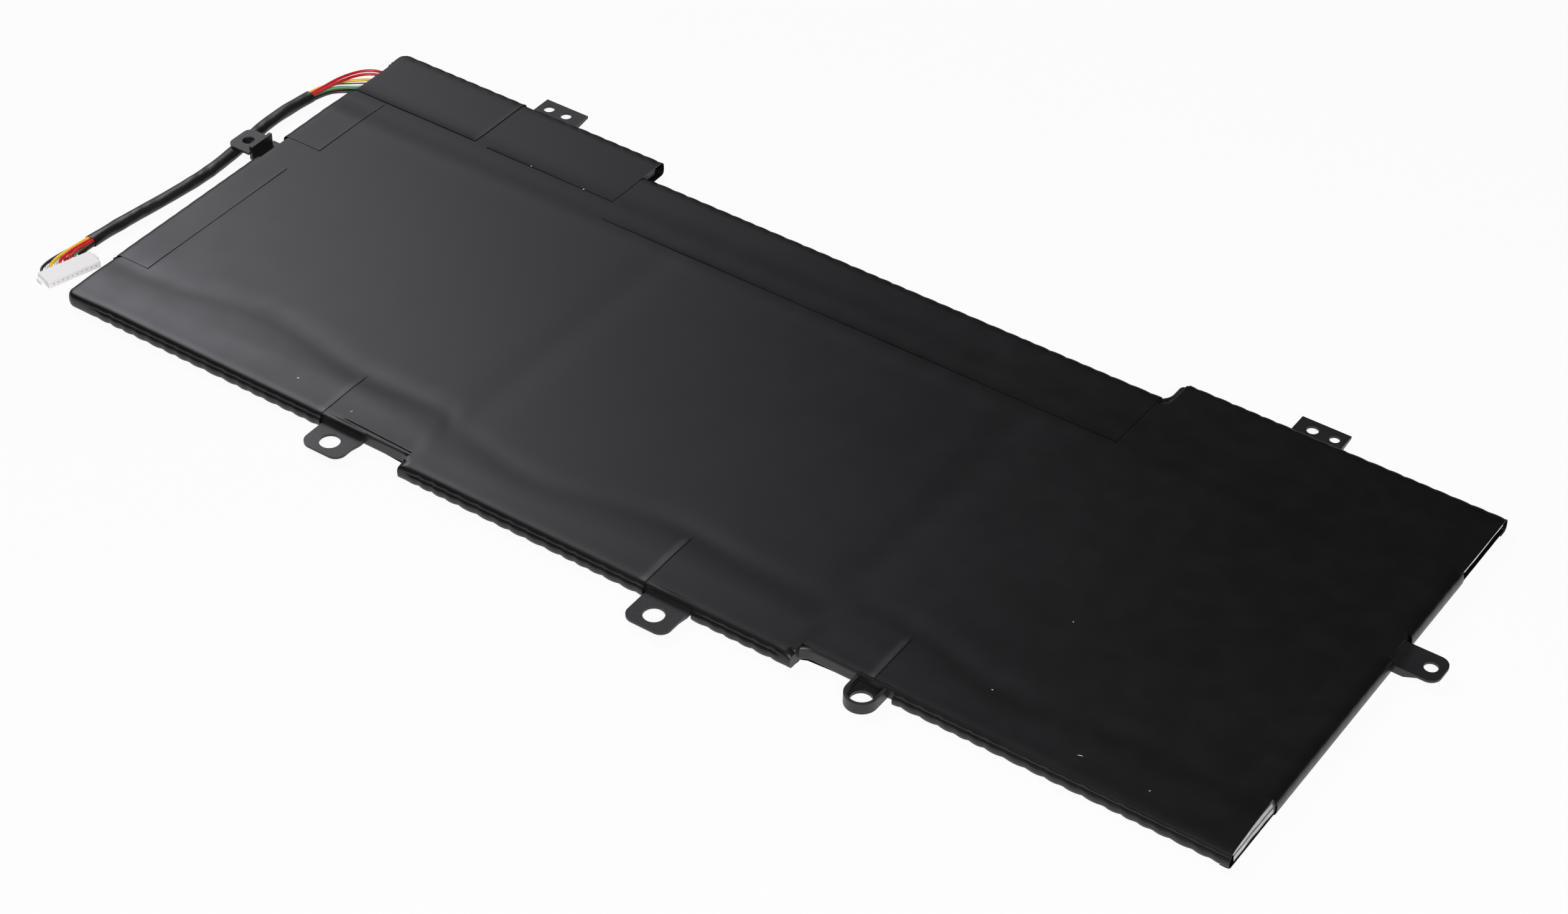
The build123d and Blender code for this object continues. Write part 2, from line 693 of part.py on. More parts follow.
for number, (name, (across, row, order, near_board, near_plug, bend)) in enumerate(wires.items()):
    shift = left_end + Vector(across * wire_pitch, 0, cable_z + row * row_step)
    entry = plug_origin + along_row * ((number - 4.5) * plug_pitch)
    pad_y = board_y + pad_first - order * pad_step
    points = [Vector(board_left + pad_inset, pad_y, board_top + wire_r + pad_lift)]
    points += [back_corner + Vector(point) for point in near_board]
    points += [Vector(x, y, 0) + shift for x, y in (wires_in,) + cable_route + (wires_out,)]
    points += [left_end + Vector(point) for point in near_plug]
    points += [entry - into_plug * bend, entry + into_plug * wire_seat]
    radii = arc_radii(points)
    with BuildPart() as wire:
        with BuildLine():
            route = FilletPolyline(*points, radius=radii)
        with BuildSketch(Plane(origin=route @ 0, z_dir=route % 0)) as section:
            Circle(wire_r)
        sweep(path=route)
    tube_share = wire.part.volume / (section.sketch.area * route.length)
    print(f"{name} length {route.length:.1f} volume share {tube_share:.4f}")
    print("   radii " + " ".join(f"{radius:.1f}" for radius in radii))
    wire.part.label = name
    export_step(wire.part, f"parts/{name}.step")

    # crimped contact in the plug, face to face with the end of its wire
    with BuildPart() as contact:
        with BuildSketch(Plane(origin=entry + into_plug * wire_seat, x_dir=along_row, z_dir=into_plug)):
            Rectangle(contact_size, contact_size)
        extrude(amount=contact_length)
    contact.part.label = f"plug_contact_{number + 1:02d}"
    export_step(contact.part, f"parts/plug_contact_{number + 1:02d}.step")

# Sleeve: an oval tube round all ten wires
sleeve_line = left_end + Vector(0, 0, cable_z)
sleeve_points = [sleeve_line + Vector(x, y, 0) for x, y in (sleeve_start,) + cable_route + (sleeve_end,)]
sleeve_radii = arc_radii([Vector(x, y, 0) for x, y in (wires_in,) + cable_route + (wires_out,)])
print("cable_sleeve radii " + " ".join(f"{radius:.1f}" for radius in sleeve_radii))
with BuildPart() as cable_sleeve:
    with BuildLine():
        sleeve_route = FilletPolyline(*sleeve_points, radius=sleeve_radii)
    start_dir = sleeve_route % 0
    with BuildSketch(Plane(origin=sleeve_route @ 0, x_dir=start_dir.cross(Vector(0, 0, 1)), z_dir=start_dir)):
        SlotOverall(sleeve_w, sleeve_h)
        SlotOverall(sleeve_w - 2 * sleeve_wall, sleeve_h - 2 * sleeve_wall, mode=Mode.SUBTRACT)
    sweep(path=sleeve_route)
print(f"cable_sleeve length {sleeve_route.length:.1f}")
cable_sleeve.part.label = "cable_sleeve"
export_step(cable_sleeve.part, "parts/cable_sleeve.step")

# Plug: a flat housing with a row of cavities, a small slot in front of each, and a tab at either end
plug_width = (len(wires) - 1) * plug_pitch + 2 * plug_end
plug_floor = Plane(origin=plug_origin - Vector(0, 0, plug_height / 2), x_dir=along_row, z_dir=(0, 0, 1))
with BuildPart() as plug_housing:
    with BuildSketch(plug_floor) as plan:
        with Locations((0, -plug_depth / 2)):
            Rectangle(plug_width, plug_depth)
        fillet(plan.vertices(), plug_corner_r)
    extrude(amount=plug_height)
    chamfer(plug_housing.faces().sort_by(Axis.Z)[-1].edges(), plug_chamfer)
    with BuildSketch(plug_floor):
        with Locations((0, -plug_flange_depth)):
            Rectangle(plug_width + 2 * plug_flange, plug_flange_depth)
    extrude(amount=plug_flange_height)
    with BuildSketch(Plane(origin=plug_origin, x_dir=along_row, z_dir=into_plug)):
        with GridLocations(plug_pitch, 0, len(wires), 1):
            Rectangle(plug_cavity, plug_cavity)
    extrude(amount=plug_depth - plug_front_t, mode=Mode.SUBTRACT)
    with BuildSketch(Plane(origin=plug_origin, x_dir=along_row, z_dir=into_plug)):
        with GridLocations(plug_pitch, 0, len(wires), 1):
            Rectangle(plug_slot, plug_slot)
    extrude(amount=plug_depth, mode=Mode.SUBTRACT)
plug_housing.part.label = "plug_housing"
export_step(plug_housing.part, "parts/plug_housing.step")
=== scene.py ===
import math

import bmesh
import bpy
import numpy as np
from mathutils import Matrix, Vector


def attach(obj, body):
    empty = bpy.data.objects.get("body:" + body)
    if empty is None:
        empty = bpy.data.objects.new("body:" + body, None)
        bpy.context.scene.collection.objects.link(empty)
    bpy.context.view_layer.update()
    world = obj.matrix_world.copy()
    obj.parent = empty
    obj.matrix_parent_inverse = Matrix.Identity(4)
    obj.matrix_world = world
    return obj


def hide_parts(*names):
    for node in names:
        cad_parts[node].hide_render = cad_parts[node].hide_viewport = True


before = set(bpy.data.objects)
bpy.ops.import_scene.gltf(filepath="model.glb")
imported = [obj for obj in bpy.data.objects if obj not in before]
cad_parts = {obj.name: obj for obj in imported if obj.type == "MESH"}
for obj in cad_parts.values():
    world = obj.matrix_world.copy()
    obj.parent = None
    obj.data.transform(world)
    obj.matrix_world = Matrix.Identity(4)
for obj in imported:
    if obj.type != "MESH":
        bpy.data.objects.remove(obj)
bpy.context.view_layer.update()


# Shader arithmetic, shared by every finish below.
# A Field is one socket of a material's node tree, read in metres where it comes from Object coordinates.
class Field:
    """One socket: arithmetic adds Math nodes, and node() adds any other node fed by fields or numbers."""

    def __init__(self, tree, socket):
        self.tree = tree
        self.socket = socket

    def node(self, kind, output, inputs, **settings):
        made = self.tree.nodes.new("ShaderNode" + kind)
        for key, value in settings.items():
            setattr(made, key, value)
        for key, value in inputs.items():
            if isinstance(value, Field):
                self.tree.links.new(value.socket, made.inputs[key])
            else:
                made.inputs[key].default_value = value
        return Field(self.tree, made.outputs[output])

    def math(self, operation, other=0.0):
        return self.node("Math", 0, {0: self, 1: other}, operation=operation)

    def __add__(self, other):
        return self.math("ADD", other)

    def __mul__(self, other):
        return self.math("MULTIPLY", other)

    def ramp(self, low, high):
        limits = {0: self, 1: low, 2: high, 3: 0.0, 4: 1.0}
        return self.node("MapRange", 0, limits, interpolation_type="SMOOTHSTEP")

    def noise(self, scale, detail=3.0):
        return self.node("TexNoise", 0, {"Vector": self, "Scale": scale, "Detail": detail})

    def mix(self, first, second):
        return self.node("Mix", 2, {0: self, 6: first, 7: second}, data_type="RGBA")


def finish(name, constants):
    """A new material: its shader's input sockets, and a Field holding the point in the part's frame."""
    material = bpy.data.materials.new(name)
    material.use_nodes = True
    tree = material.node_tree
    shader = tree.nodes["Principled BSDF"]
    for key, value in constants.items():
        shader.inputs[key].default_value = value
    point = Field(tree, tree.nodes.new("ShaderNodeTexCoord").outputs["Object"])
    return material, shader, point


def feed(shader, key, field):
    """Links a varying field to one of the shader's inputs."""
    field.tree.links.new(field.socket, shader.inputs[key])


def grained(name, dark, light, rough, patch, grain, depth, **constants):
    """A surface whose colour and gloss drift in patches; its fine grain is a bump, with its depth in metres."""
    material, shader, point = finish(name, constants)
    drift = point.noise(patch, 4.0)
    fine = point.noise(grain, 2.0)
    feed(shader, "Base Color", (drift * 0.7 + fine * 0.3).ramp(0.3, 0.7).mix((*dark, 1.0), (*light, 1.0)))
    feed(shader, "Roughness", drift * 0.16 + (rough - 0.08))
    bump = point.node("Bump", 0, {"Height": fine, "Strength": 1.0, "Distance": depth})
    feed(shader, "Normal", bump)
    return material


# Camera, light and floor: the photograph's view of a satin black pack on a white ground.
# A lens of 80 mm on a 36 mm sensor stands 0.73 m off. A soft key lights it all,
# and two weak boxes give the left end its sheen.
CAMERA_AT = (0.321417, -0.471659, 0.471382)
SHEEN = (0.98, 0.96, 1.04)
GLOW_SHARE = 0.9
camera_data = bpy.data.cameras.new("camera")
camera_data.sensor_width = 36.0
camera_data.lens = 79.97
camera_data.clip_end = 20.0
camera = bpy.data.objects.new("camera", camera_data)
bpy.context.collection.objects.link(camera)
azimuth, elevation, roll = np.radians([33.6412, 40.1409, 1.3688])
level = Vector((math.cos(azimuth), math.sin(azimuth), 0.0))
ahead = Vector((-math.sin(azimuth), math.cos(azimuth), 0.0)) * math.cos(elevation)
ahead.z = -math.sin(elevation)
rise = level.cross(ahead)
right = level * math.cos(roll) + rise * math.sin(roll)
up = rise * math.cos(roll) - level * math.sin(roll)
turned = Matrix((right, up, -ahead)).transposed().to_4x4()
camera.matrix_world = Matrix.Translation(CAMERA_AT) @ turned
bpy.context.scene.camera = camera


def soft_box(name, place, size, power, colour=(1.0, 1.0, 1.0)):
    """A square area light at a place, turned to face the pack's middle."""
    data = bpy.data.lights.new(name, "AREA")
    data.color = colour
    data.size = size
    data.energy = power
    light = bpy.data.objects.new(name, data)
    light.location = place
    light.rotation_euler = (-Vector(place)).to_track_quat("-Z", "Y").to_euler()
    bpy.context.collection.objects.link(light)


soft_box("key", (0.65, -0.75, 1.00), 0.8, 22.0)
soft_box("sheen_left", (-0.90, 0.40, 0.85), 0.5, 5.0, SHEEN)
soft_box("sheen_back", (-0.85, 0.62, 0.70), 0.7, 1.0, SHEEN)
world = bpy.data.worlds.new("studio")
world.use_nodes = True
world.node_tree.nodes["Background"].inputs["Color"].default_value = (0.02, 0.02, 0.021, 1.0)
bpy.context.scene.world = world
bpy.context.scene.view_settings.view_transform = "Standard"

floor_mesh = bpy.data.meshes.new("floor")
floor_mesh.from_pydata([(-3, -3, 0), (3, -3, 0), (3, 3, 0), (-3, 3, 0)], [], [(0, 1, 2, 3)])
floor = bpy.data.objects.new("floor", floor_mesh)
bpy.context.collection.objects.link(floor)
floor_finish, floor_shader, floor_point = finish("white_floor", {"Roughness": 0.9})
pale = floor_point.noise(3.0).mix((0.78, 0.78, 0.78, 1.0), (0.82, 0.82, 0.82, 1.0))
feed(floor_shader, "Base Color", pale)
seen = floor_point.node("LightPath", "Is Camera Ray", {})
for ray in ("Is Glossy Ray", "Is Transmission Ray"):
    seen = seen + floor_point.node("LightPath", ray, {})
glow = floor_point.node("Emission", 0, {"Color": (1.0, 1.0, 1.0, 1.0), "Strength": 1.0})
lit = Field(floor_point.tree, floor_shader.outputs[0])
blend = floor_point.node("MixShader", 0, {0: seen * GLOW_SHARE, 1: lit, 2: glow})
floor_point.tree.links.new(blend.socket, floor_point.tree.nodes["Material Output"].inputs["Surface"])
floor_mesh.materials.append(floor_finish)


# Cable: ten stranded wires in soft PVC, soldered to the board inside and crimped into the plug's contacts.
# Each is one smooth curve through its route, from its solder pad to its crimp.
MM = 0.001
WIRE_D = 0.7
PITCH = 0.74
ROW = PITCH * math.sin(math.radians(60.0))
CABLE_Z = 1.27
WIRES_IN = (-153.75, 38.3)
ROUTE = ((-155.5, 25.5), (-153.75, 11.5), (-152.7, -1.5), (-153.8, -14.0), (-155.45, -26.5), (-156.05, -33.0))
WIRES_OUT = (-156.4, -38.2)
PAD = np.array((-138.7, 55.6, 1.9))
PAD_STEP = np.array((0.0, -0.82, 0.0))
PLUG = np.array((-155.8, -46.1, 0.82))
PLUG_TURN = math.radians(74.0)
ALONG = np.array((math.cos(PLUG_TURN), math.sin(PLUG_TURN), 0.0))
INTO = np.array((math.sin(PLUG_TURN), -math.cos(PLUG_TURN), 0.0))
PLUG_PITCH = 1.2
SEAT = 1.0
wires = {
    "wire_01_black": (-1.5, 0, 3, ((-143.3, 50.5, 1.4), (-148.4, 47.6, 0.8), (-153.35, 43.55, 0.78)),
                      ((-158.8, -44.0, 1.07), (-159.2, -48.2, 0.9)), 1.2),
    "wire_02_white": (-1, -1, 4, ((-143.3, 49.55, 1.16), (-148.45, 46.75, 0.54), (-152.75, 43.05, 0.42)),
                      ((-158.3, -43.6, 0.42), (-158.6, -47.3, 0.5)), 1.2),
    "wire_03_yellow": (-1, 1, 2, ((-143.3, 51.5, 1.8), (-148.6, 48.4, 1.55), (-152.9, 43.7, 1.55)),
                       ((-157.9, -43.2, 1.66), (-158.05, -46.4, 1.45)), 1.2),
    "wire_04_white": (-0.5, 0, 5, ((-143.3, 48.9, 1.95), (-148.3, 45.5, 1.6), (-152.15, 42.5, 1.57)),
                      ((-157.4, -42.6, 1.04), (-157.8, -45.4, 0.55)), 1.2),
    "wire_05_red": (0, 1, 0, ((-143.3, 53.4, 2.2), (-148.9, 51.9, 2.6), (-151.9, 45.0, 3.0)),
                    ((-157.0, -42.0, 1.9), (-157.15, -44.45, 1.55)), 1.2),
    "wire_06_red": (0, -1, 6, ((-143.35, 48.25, 1.16), (-148.4, 45.8, 0.55), (-152.05, 42.65, 0.53)),
                    ((-156.75, -41.4, 0.4), (-157.0, -43.4, 0.4)), 1.2),
    "wire_07_red": (1, 1, 1, ((-143.3, 52.5, 2.2), (-148.3, 50.2, 2.6), (-150.9, 44.2, 2.9)),
                    ((-156.0, -40.85, 2.0), (-156.3, -42.4, 1.65)), 1.3),
    "wire_08_green": (0.5, 0, 8, ((-143.3, 46.9, 1.97), (-148.2, 44.3, 1.65), (-151.45, 41.95, 1.7)),
                      ((-156.4, -40.85, 1.17),), 0.9),
    "wire_09_black": (1, -1, 7, ((-143.35, 47.4, 1.16), (-148.35, 44.85, 0.5), (-151.35, 42.3, 0.4)),
                      ((-155.8, -39.95, 0.4),), 1.0),
    "wire_10_black": (1.5, 0, 9, ((-143.3, 46.3, 1.16), (-148.2, 44.0, 0.63), (-150.7, 41.95, 0.78)),
                      (), 0.9),
}
wire_lengths = (114.8, 112.6, 112.7, 109.0, 112.2, 106.3, 108.2, 102.2, 101.4, 98.8)
insulation = {
    "black": grained("wire_black", (0.012, 0.012, 0.013), (0.022, 0.022, 0.024), 0.42, 180.0, 2500.0, 2e-5),
    "white": grained("wire_white", (0.74, 0.73, 0.70), (0.84, 0.83, 0.80), 0.42, 180.0, 2500.0, 2e-5),
    "yellow": grained("wire_yellow", (0.80, 0.46, 0.006), (0.90, 0.56, 0.012), 0.32, 180.0, 2500.0, 2e-5),
    "red": grained("wire_red", (0.46, 0.006, 0.010), (0.58, 0.012, 0.018), 0.32, 180.0, 2500.0, 2e-5),
    "green": grained("wire_green", (0.05, 0.24, 0.08), (0.08, 0.32, 0.12), 0.34, 180.0, 2500.0, 2e-5),
}


def nurbs(name, points, bevel):
    """A curve object: one quadratic NURBS spline with the route's points, in mm, as its control points."""
    data = bpy.data.curves.new(name, "CURVE")
    data.dimensions = "3D"
    data.resolution_u = 10
    data.bevel_depth = bevel * MM
    data.bevel_resolution = 3
    data.use_fill_caps = True
    spline = data.splines.new("NURBS")
    spline.points.add(len(points) - 1)
    flat = np.ones((len(points), 4))
    flat[:, :3] = np.array(points) * MM
    spline.points.foreach_set("co", flat.ravel())
    spline.order_u = 3
    spline.use_endpoint_u = True
    made = bpy.data.objects.new(name, data)
    bpy.context.collection.objects.link(made)
    return made


def wire_route(number, across, row, order, near_board, near_plug, bend):
    """A wire's route points in mm: pad, fan to the bundle, bundle, fan to the plug, crimp."""
    shift = np.array((across * PITCH, 0.0, CABLE_Z + row * ROW))
    bundle = [np.array((x, y, 0.0)) + shift for x, y in (WIRES_IN, *ROUTE, WIRES_OUT)]
    entry = PLUG + ALONG * ((number - 4.5) * PLUG_PITCH)
    ends = [entry - INTO * bend, entry + INTO * SEAT]
    return [PAD + PAD_STEP * order, *near_board, *bundle, *near_plug, *ends]


cords = []
for number, (name, layout) in enumerate(wires.items()):
    points = wire_route(number, *layout)
    wire = nurbs("cord_" + name[5:], points, WIRE_D / 2)
    wire.data.materials.append(insulation[name[8:]])
    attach(wire, "root")
    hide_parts(name)
    cords.append((wire, points, wire_lengths[number]))
for wire, points, length in cords:
    tuple(points[0] * MM)
    length * MM


# Sleeve: a tube of thin black film shrunk loosely round the wires, from beside the window almost to the plug.
# It has an oval section, soft creases where the cable bends, and open ends.
SLEEVE_START = (-154.05, 36.1)
SLEEVE_END = (-156.3, -36.7)
SLEEVE_W = 3.3
SLEEVE_H = 2.5
SLEEVE_T = 0.15
FLOOR_GAP = 0.02
WELD = 0.004
CORE = ((-140.0, -50.0, 1.9), (140.0, 48.0, 1.9))


def smooth(low, high, value):
    """A soft step from 0 at low to 1 at high."""
    t = np.clip((value - low) / (high - low), 0.0, 1.0)
    return t * t * (3.0 - 2.0 * t)


def swell(value, centre, width):
    """A bell of height 1 at a centre."""
    return np.exp(-(((value - centre) / width) ** 2))


def along_route(points, step):
    """Points at even steps, in mm, read from the quadratic NURBS through a route."""
    guide = nurbs("guide", points, 0.0)
    guide.data.resolution_u = 40
    guide.data.use_fill_caps = False
    line = bpy.data.meshes.new_from_object(guide.evaluated_get(bpy.context.evaluated_depsgraph_get()))
    flat = np.empty(len(line.vertices) * 3)
    line.vertices.foreach_get("co", flat)
    bpy.data.objects.remove(guide)
    bpy.data.meshes.remove(line)
    path = flat.reshape(-1, 3) / MM
    run = np.concatenate([[0.0], np.cumsum(np.linalg.norm(np.diff(path, axis=0), axis=1))])
    even = np.linspace(0.0, run[-1], int(run[-1] / step) + 1)
    return even, np.stack([np.interp(even, run, path[:, k]) for k in range(3)], 1)


def sheet_of(points):
    """Vertices and quads of a grid of points, rows by columns, wound to face away from the pack's core."""
    rows, columns = points.shape[:2]
    index = np.arange(rows * columns).reshape(rows, columns)
    quads = np.stack([index[:-1, :-1], index[:-1, 1:], index[1:, 1:], index[1:, :-1]], -1).reshape(-1, 4)
    flat = points.reshape(-1, 3)
    facing = np.cross(flat[quads[:, 2]] - flat[quads[:, 0]], flat[quads[:, 3]] - flat[quads[:, 1]])
    middle = flat[quads].mean(1)
    if (facing * (middle - np.clip(middle, *CORE))).sum() < 0:
        quads = quads[:, ::-1]
    return flat, quads


def piece_of(name, grids, finish_material, thickness=0.0):
    """One mesh object from several grids in mm, welded where they meet and given its thickness inward."""
    vertices, faces, start = [], [], 0
    for grid in grids:
        points, quads = sheet_of(grid)
        vertices.append(points)
        faces.append(quads + start)
        start += len(points)
    mesh = bpy.data.meshes.new(name)
    mesh.from_pydata((np.vstack(vertices) * MM).tolist(), [], np.vstack(faces).tolist())
    work = bmesh.new()
    work.from_mesh(mesh)
    bmesh.ops.remove_doubles(work, verts=work.verts, dist=WELD * MM)
    bmesh.ops.dissolve_degenerate(work, edges=work.edges, dist=1e-7)
    work.to_mesh(mesh)
    work.free()
    mesh.shade_smooth()
    mesh.materials.append(finish_material)
    made = bpy.data.objects.new(name, mesh)
    bpy.context.collection.objects.link(made)
    if thickness:
        wall = made.modifiers.new("wall", "SOLIDIFY")
        wall.thickness = thickness * MM
        wall.offset = -1.0
        crisp = made.modifiers.new("crisp", "EDGE_SPLIT")
        crisp.split_angle = math.radians(55.0)
    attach(made, "root")
    return made


route = [(x, y, CABLE_Z) for x, y in (SLEEVE_START, *ROUTE, SLEEVE_END)]
run, path = along_route(route, 0.35)
heading = np.gradient(path, axis=0)
heading /= np.linalg.norm(heading, axis=1)[:, None]
across = np.stack([heading[:, 1], -heading[:, 0], np.zeros(len(run))], 1)
angle = np.linspace(0.0, 2 * math.pi, 33)
crease = 0.05 * np.sin(run / 1.9 + 1.2 * np.sin(run / 5.3))
crease += 0.03 * np.sin(run / 0.8 + 2.0 * np.sin(run / 3.1))
loose = 1.0 + crease[:, None] * np.cos(2.0 * angle + 0.5 * np.sin(run / 6.0)[:, None])
wide = SLEEVE_W / 2 * loose * np.sign(np.cos(angle)) * np.abs(np.cos(angle)) ** 0.85
tall = np.maximum(SLEEVE_H / 2 * loose * np.sin(angle), FLOOR_GAP - CABLE_Z)
tube = path[:, None] + across[:, None] * wide[..., None] + np.array((0.0, 0.0, 1.0)) * tall[..., None]
sleeve_finish = grained(
    "sleeve_film", (0.0045, 0.0045, 0.005), (0.010, 0.010, 0.011), 0.38, 90.0, 1500.0, 2e-5)
sleeve = piece_of("sleeve", [tube], sleeve_finish, SLEEVE_T)
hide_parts("cable_sleeve")


# Plug: a flat ten-way housing moulded in white nylon, with a pressed and plated contact in each of its ways.
# The wires are crimped into the contacts, which latch into the housing from the wire side.
plug_finish = grained("plug_plastic", (0.74, 0.73, 0.71), (0.82, 0.81, 0.79), 0.42, 70.0, 1800.0, 1.5e-5)
contact_finish = grained(
    "contact_plate", (0.30, 0.28, 0.25), (0.44, 0.41, 0.37), 0.34, 300.0, 4000.0, 4e-6, Metallic=1.0)


def dress(nodes, material):
    """Gives some of the CAD nodes one finish."""
    for node in nodes:
        mesh = bpy.data.objects[node].data
        mesh.materials.clear()
        mesh.materials.append(material)


dress(["plug_housing"], plug_finish)
dress(["plug_contact_%02d" % number for number in range(1, 11)], contact_finish)


# Frame: one thin moulding in dark grey glass-filled plastic, with the screw ears, eyelet and cable clip.
# The texture of the mould gives it a fine matt grain; handling has rubbed it a little.
frame_finish = grained(
    "frame_plastic", (0.007, 0.007, 0.008), (0.014, 0.014, 0.015), 0.42, 45.0, 2600.0, 2.0e-5)
dress(["moulded_frame"], frame_finish)


# Cells and what joins them: three aluminium-foil pouches on strips of adhesive.
# Each has a nickel and an aluminium tab. Amber tape covers the tabs' terraces,
# and spot-welded nickel strips join the cells to the board.
CELLS = ("left", "middle", "right")
foil = grained("pouch_foil", (0.42, 0.42, 0.43), (0.62, 0.62, 0.63), 0.34, 60.0, 900.0, 3e-5, Metallic=0.9)
nickel = grained("nickel", (0.50, 0.48, 0.44), (0.66, 0.63, 0.58), 0.32, 120.0, 2400.0, 1e-5, Metallic=1.0)
tab_metal = grained(
    "aluminium_tab", (0.66, 0.67, 0.68), (0.80, 0.81, 0.82), 0.36, 120.0, 2400.0, 1e-5, Metallic=1.0)
amber = grained("amber_tape", (0.42, 0.20, 0.03), (0.56, 0.29, 0.05), 0.30, 90.0, 1600.0, 8e-6)
adhesive = grained("adhesive", (0.55, 0.54, 0.50), (0.68, 0.67, 0.62), 0.60, 80.0, 1200.0, 3e-5)
dress(["pouch_cell_" + cell for cell in CELLS], foil)
dress(["cell_pad_" + cell for cell in CELLS], adhesive)
dress(["tab_negative_" + cell for cell in CELLS], nickel)
dress(["tab_positive_" + cell for cell in CELLS], tab_metal)
dress(["terrace_tape_" + cell for cell in CELLS], amber)
dress(["series_link_left", "series_link_right", "bus_strip_positive", "bus_strip_negative"], nickel)



# Open corners on the right: the foil of the cell's sealed edge folded up in front,
# and the pale adhesive of the cut film behind.
# Both are thin strips along the end, seen through the gap that the two films leave.
FOLD_SECTION = (
    (144.75, 3.72), (145.05, 3.55), (145.30, 2.95), (145.45, 2.72), (145.60, 2.62), (145.50, 2.45),
    (145.62, 1.6), (145.58, 1.02))
GLUE_SECTION = ((145.55, 3.50), (145.80, 3.48), (145.86, 3.22), (145.6, 3.12))


def cut_corners(controls, times):
    """A polyline with each corner cut at a quarter of its sides, some times over; the two ends stay."""
    line = np.array(controls, float)
    for _ in range(times):
        near = 0.75 * line[:-1] + 0.25 * line[1:]
        far = 0.25 * line[:-1] + 0.75 * line[1:]
        line = np.vstack([line[:1], np.stack([near, far], 1).reshape(-1, line.shape[1]), line[-1:]])
    return line


def strip_along(name, section, low, high, material):
    """A thin strip: a rounded section in X and Z carried along Y with a slight waver."""
    outline = cut_corners(section, 2)
    y = np.linspace(low, high, 40)
    waver = 0.04 * np.sin(y / 2.3) + 0.03 * np.sin(y / 0.9 + 1.0)
    x = outline[:, 0] + waver[:, None]
    z = outline[:, 1] + 0.6 * waver[:, None]
    return piece_of(name, [np.stack([x, np.repeat(y[:, None], len(outline), 1), z], -1)], material)


fold = strip_along("pouch_fold", FOLD_SECTION, -54.6, -38.3, foil)
glue = strip_along("edge_adhesive", GLUE_SECTION, 40.9, 58.6, adhesive)


# Board: glass-fibre laminate with a green mask; its chips, fuse and sensing parts are soldered flat on it.
# A strip of grey fish paper lies over it against the film.
mask = grained("board_mask", (0.010, 0.075, 0.035), (0.018, 0.120, 0.055), 0.34, 150.0, 1500.0, 1e-5)
epoxy = grained("chip_epoxy", (0.018, 0.018, 0.019), (0.032, 0.032, 0.034), 0.52, 300.0, 3500.0, 1e-5)
ceramic = grained("fuse_ceramic", (0.62, 0.60, 0.55), (0.76, 0.74, 0.69), 0.45, 300.0, 3500.0, 8e-6)
film_resistor = grained(
    "sensing_part", (0.030, 0.028, 0.026), (0.060, 0.055, 0.050), 0.40, 300.0, 3500.0, 8e-6)
paper = grained("fish_paper", (0.20, 0.21, 0.20), (0.28, 0.29, 0.27), 0.75, 120.0, 900.0, 3e-5)
dress(["protection_board"], mask)
dress(["gauge_chip", "safety_chip", "charge_mosfet", "discharge_mosfet"], epoxy)
dress(["cell_fuse"], ceramic)
dress(["sense_resistor", "thermistor"], film_resistor)
dress(["insulating_paper"], paper)


# Upper film: a sheet of satin black polyester stretched over the cells, slit at the front ears.
# It rolls over the front edge into a puckered bead, sealed in short tucks, and ends under the pack.
END = 145.9
RIM = 2.4
FILM_T = 0.12
TUCK = 4.05
STEP = 49.35
LEFT_FRONT = -56.0
STEP_FRONT = -59.05
RIGHT_FRONT = -55.9
BACK = 61.3
RECESS = 54.2
NOTCH = 68.6
CELL_BACK = 38.0
ON_CELL = 3.80
FILM_TOP = 4.02
FILM_LOW = 0.16
LEFT_EAR = (-72.9, -61.2)
LEFT_EAR_MID = -67.0
MIDDLE_EAR = (13.7, 25.6)
MIDDLE_EAR_MID = 19.6
EYELET = (66.2, 71.2)
SLITS = {LEFT_EAR[0]: -39.8, MIDDLE_EAR[0]: -41.7, EYELET[0]: -40.5}
SLIT_LIFT = 0.13
CAP_BACK = -55.3


def flow(controls, count):
    """A rounded polyline: corners cut three times, then points at even arc length."""
    line = cut_corners(controls, 3)
    run = np.concatenate([[0.0], np.cumsum(np.linalg.norm(np.diff(line[:, :2], axis=0), axis=1))])
    even = np.linspace(0.0, run[-1], count)
    return np.stack([np.interp(even, run, line[:, k]) for k in range(line.shape[1])], 1)


def front_line(x):
    """The front edge's Y, which steps forward over the pack's middle third."""
    forward = smooth(-STEP - 2.5, -STEP + 2.5, x) - smooth(STEP - 2.5, STEP + 2.5, x)
    return LEFT_FRONT + (STEP_FRONT - LEFT_FRONT) * forward


